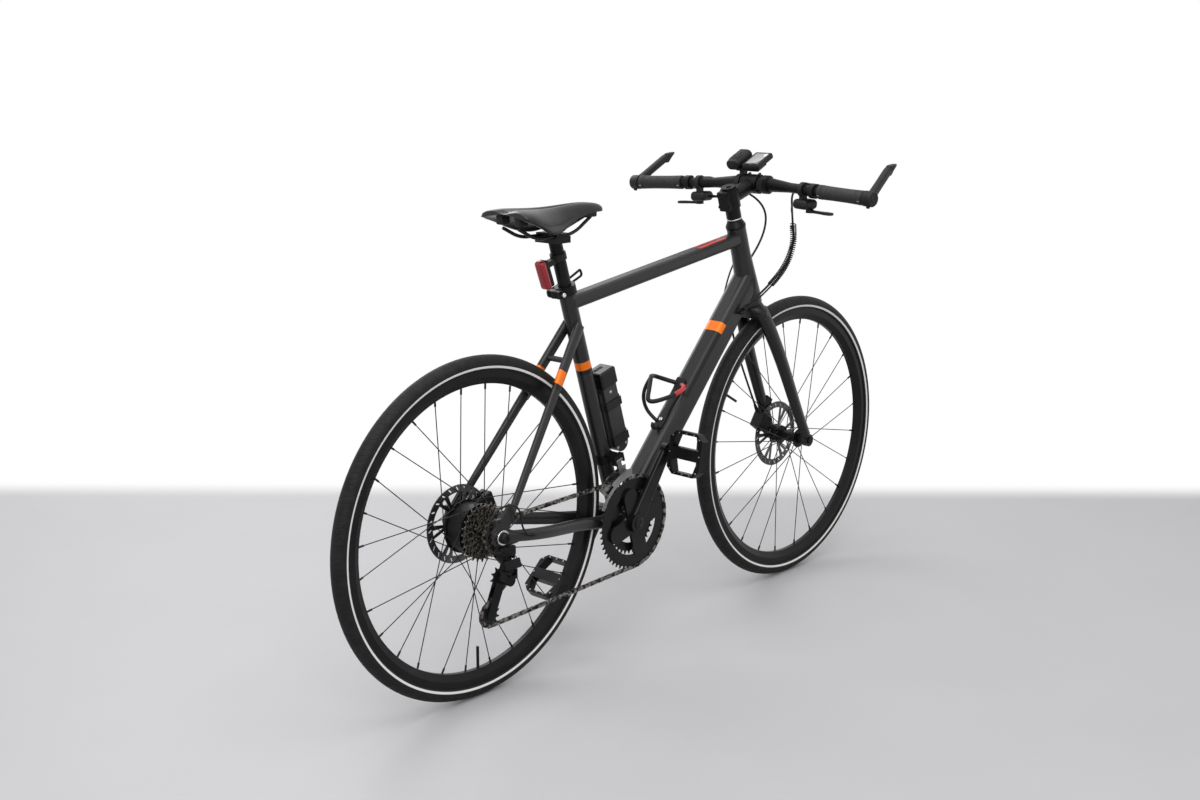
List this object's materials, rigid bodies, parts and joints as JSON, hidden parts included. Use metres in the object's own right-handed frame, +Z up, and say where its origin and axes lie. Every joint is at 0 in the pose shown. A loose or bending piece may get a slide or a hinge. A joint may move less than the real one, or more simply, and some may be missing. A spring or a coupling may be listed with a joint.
{
  "type": "hybrid bicycle",
  "caption": "Flat-bar hybrid bicycle with disc brakes, derailleur gears, turning wheels, cranks and pedals, steering fork, sliding seatpost and a folding lock in its holder.",
  "frame": {"origin": "on the ground midway between the two wheel contact points", "axes": "+X forward, +Y to the rider's left, +Z up"},
  "size_m": [1.72, 0.6874, 1.0428],
  "materials": {
    "frame_paint": "satin",
    "fork_paint": "satin",
    "black_metal": "anodised satin black",
    "black_plastic": "matte",
    "axle_steel": "brushed",
    "chain_steel": "worn",
    "cog_steel": "worn",
    "lock_steel": "coated",
    "rail_steel": "coated",
    "saddle_cover": "smooth",
    "red_lens": "gloss",
    "grip_rubber": "matte",
    "cable_cover": "satin",
    "tyre": "matte",
    "rim_black": "anodised black",
    "spoke_black": "black",
    "rotor_steel": "brushed",
    "crank_black": "anodised black",
    "bright_metal": "polished"
  },
  "bodies": {
    "frame": {"main_frame": "frame_paint", "rear_triangle": "frame_paint", "headset_cups": "black_metal", "bottom_bracket_cups": "black_metal", "seat_clamp": "black_metal", "bottle_cage": "black_plastic", "lock_holder": "black_plastic", "rear_caliper": "black_metal", "front_derailleur_mount": "black_metal", "rear_axle": "axle_steel", "rear_derailleur_mount": "black_metal", "chain": "chain_steel"},
    "lock": {"folding_lock": "lock_steel"},
    "seat": {"seatpost": "black_metal", "saddle_clamp": "black_metal", "saddle_rails": "rail_steel", "saddle": "saddle_cover", "rear_light_bracket": "black_plastic", "rear_light": "red_lens"},
    "seat_lever": {"seat_clamp_lever": "black_metal"},
    "steering": {"fork": "fork_paint", "front_axle": "black_metal", "headset_spacers": "black_metal", "stem": "black_metal", "stem_faceplate": "black_metal", "handlebar": "black_metal", "grips": "grip_rubber", "bar_ends": "grip_rubber", "brake_lever_bodies": "black_metal", "shifter_bodies": "black_plastic", "computer_mount": "black_plastic", "computer": "black_plastic", "headlight": "black_plastic", "front_caliper": "black_metal", "control_cables": "cable_cover"},
    "left_brake": {"brake_lever_left": "black_metal"},
    "right_brake": {"brake_lever_right": "black_metal"},
    "left_shift": {"shift_lever_left": "black_plastic"},
    "right_shift": {"shift_lever_right": "black_plastic"},
    "front_wheel": {"front_tyre": "tyre", "front_rim": "rim_black", "front_spokes": "spoke_black", "front_hub": "black_metal", "front_rotor": "rotor_steel"},
    "rear_wheel": {"rear_tyre": "tyre", "rear_rim": "rim_black", "rear_spokes": "spoke_black", "rear_hub": "black_metal", "rear_rotor": "rotor_steel"},
    "sprockets": {"cassette": "cog_steel"},
    "crankset": {"crank_arms": "crank_black", "chainrings": "crank_black"},
    "left_pedal": {"pedal_left": "black_metal"},
    "right_pedal": {"pedal_right": "black_metal"},
    "changer_front": {"front_derailleur_cage": "bright_metal"},
    "changer_link": {"rear_derailleur_link": "black_metal"},
    "changer_knuckle": {"rear_derailleur_knuckle": "black_metal"},
    "changer_cage": {"rear_derailleur_cage": "black_metal"},
    "guide_wheel": {"guide_pulley": "black_plastic"},
    "tension_wheel": {"tension_pulley": "black_plastic"}
  },
  "joints": [
    {"name": "steer", "type": "hinge", "parent": "frame", "child": "steering", "pos_m": [0.47043, 0, 0.33009], "axis": [-0.3173, 0, 0.9483], "range_deg": [-60, 60], "deforming": ["control_cables"]},
    {"name": "front_wheel_spin", "type": "hinge", "parent": "steering", "child": "front_wheel", "pos_m": [0.515, 0, 0.345], "axis": [0, 1, 0], "continuous": true},
    {"name": "rear_wheel_spin", "type": "hinge", "parent": "frame", "child": "rear_wheel", "pos_m": [-0.515, 0, 0.345], "axis": [0, 1, 0], "continuous": true},
    {"name": "crank_spin", "type": "hinge", "parent": "frame", "child": "crankset", "pos_m": [-0.105, 0, 0.277], "axis": [0, 1, 0], "continuous": true, "deforming": ["chain"]},
    {"name": "sprocket_spin", "type": "hinge", "parent": "frame", "child": "sprockets", "pos_m": [-0.515, 0, 0.345], "axis": [0, 1, 0], "continuous": true},
    {"name": "left_pedal_spin", "type": "hinge", "parent": "crankset", "child": "left_pedal", "pos_m": [-0.19, 0, 0.12978], "axis": [0, 1, 0], "continuous": true},
    {"name": "right_pedal_spin", "type": "hinge", "parent": "crankset", "child": "right_pedal", "pos_m": [-0.02, 0, 0.42422], "axis": [0, 1, 0], "continuous": true},
    {"name": "front_changer_swing", "type": "hinge", "parent": "frame", "child": "changer_front", "pos_m": [-0.14886, -0.0419, 0.42045], "axis": [0.9563, 0, 0.2924], "range_deg": [0, 12]},
    {"name": "rear_changer_swing", "type": "hinge", "parent": "frame", "child": "changer_link", "pos_m": [-0.502, -0.06906, 0.30307], "axis": [1, 0, 0], "range_deg": [-15, 55]},
    {"name": "rear_changer_level", "type": "hinge", "parent": "changer_link", "child": "changer_knuckle", "pos_m": [-0.502, -0.08, 0.273], "axis": [1, 0, 0], "range_deg": [-55, 15]},
    {"name": "chain_arm_swing", "type": "hinge", "parent": "changer_knuckle", "child": "changer_cage", "pos_m": [-0.502, -0.0615, 0.256], "axis": [0, 1, 0], "range_deg": [-40, 20], "stiffness_Nm_per_rad": 0.6},
    {"name": "guide_spin", "type": "hinge", "parent": "changer_cage", "child": "guide_wheel", "pos_m": [-0.502, -0.0546, 0.256], "axis": [0, 1, 0], "continuous": true},
    {"name": "tension_spin", "type": "hinge", "parent": "changer_cage", "child": "tension_wheel", "pos_m": [-0.53133, -0.0546, 0.18589], "axis": [0, 1, 0], "continuous": true},
    {"name": "left_brake_pull", "type": "hinge", "parent": "steering", "child": "left_brake", "pos_m": [0.3685, 0.19691, 0.9552], "axis": [0.1733, 0.0602, 0.983], "range_deg": [0, 18], "stiffness_Nm_per_rad": 0.8},
    {"name": "right_brake_pull", "type": "hinge", "parent": "steering", "child": "right_brake", "pos_m": [0.3685, -0.19691, 0.9552], "axis": [-0.1733, 0.0602, -0.983], "range_deg": [0, 18], "stiffness_Nm_per_rad": 0.8},
    {"name": "left_shift_push", "type": "hinge", "parent": "steering", "child": "left_shift", "pos_m": [0.35049, 0.15732, 0.92021], "axis": [0, -0.0448, -0.999], "range_deg": [0, 22], "stiffness_Nm_per_rad": 0.5},
    {"name": "right_shift_push", "type": "hinge", "parent": "steering", "child": "right_shift", "pos_m": [0.35049, -0.15732, 0.92021], "axis": [0, -0.0448, 0.999], "range_deg": [0, 22], "stiffness_Nm_per_rad": 0.5},
    {"name": "seatpost_slide", "type": "slide", "parent": "frame", "child": "seat", "axis": [-0.2924, 0, 0.9563], "range_m": [-0.025, 0.05]},
    {"name": "seat_lever_swing", "type": "hinge", "parent": "frame", "child": "seat_lever", "pos_m": [-0.28591, 0.021, 0.78323], "axis": [-0.2924, 0, 0.9563], "range_deg": [0, 140]},
    {"name": "lock_lift", "type": "slide", "parent": "frame", "child": "lock", "axis": [-0.2924, 0, 0.9563], "range_m": [0, 0.1]}
  ],
  "couplings": [
    {"joint": "sprocket_spin", "follows": "crank_spin", "ratio": 3.8462},
    {"joint": "guide_spin", "follows": "crank_spin", "ratio": -4.5455},
    {"joint": "tension_spin", "follows": "crank_spin", "ratio": 4.5455},
    {"joint": "rear_changer_level", "follows": "rear_changer_swing", "ratio": -1}
  ]
}
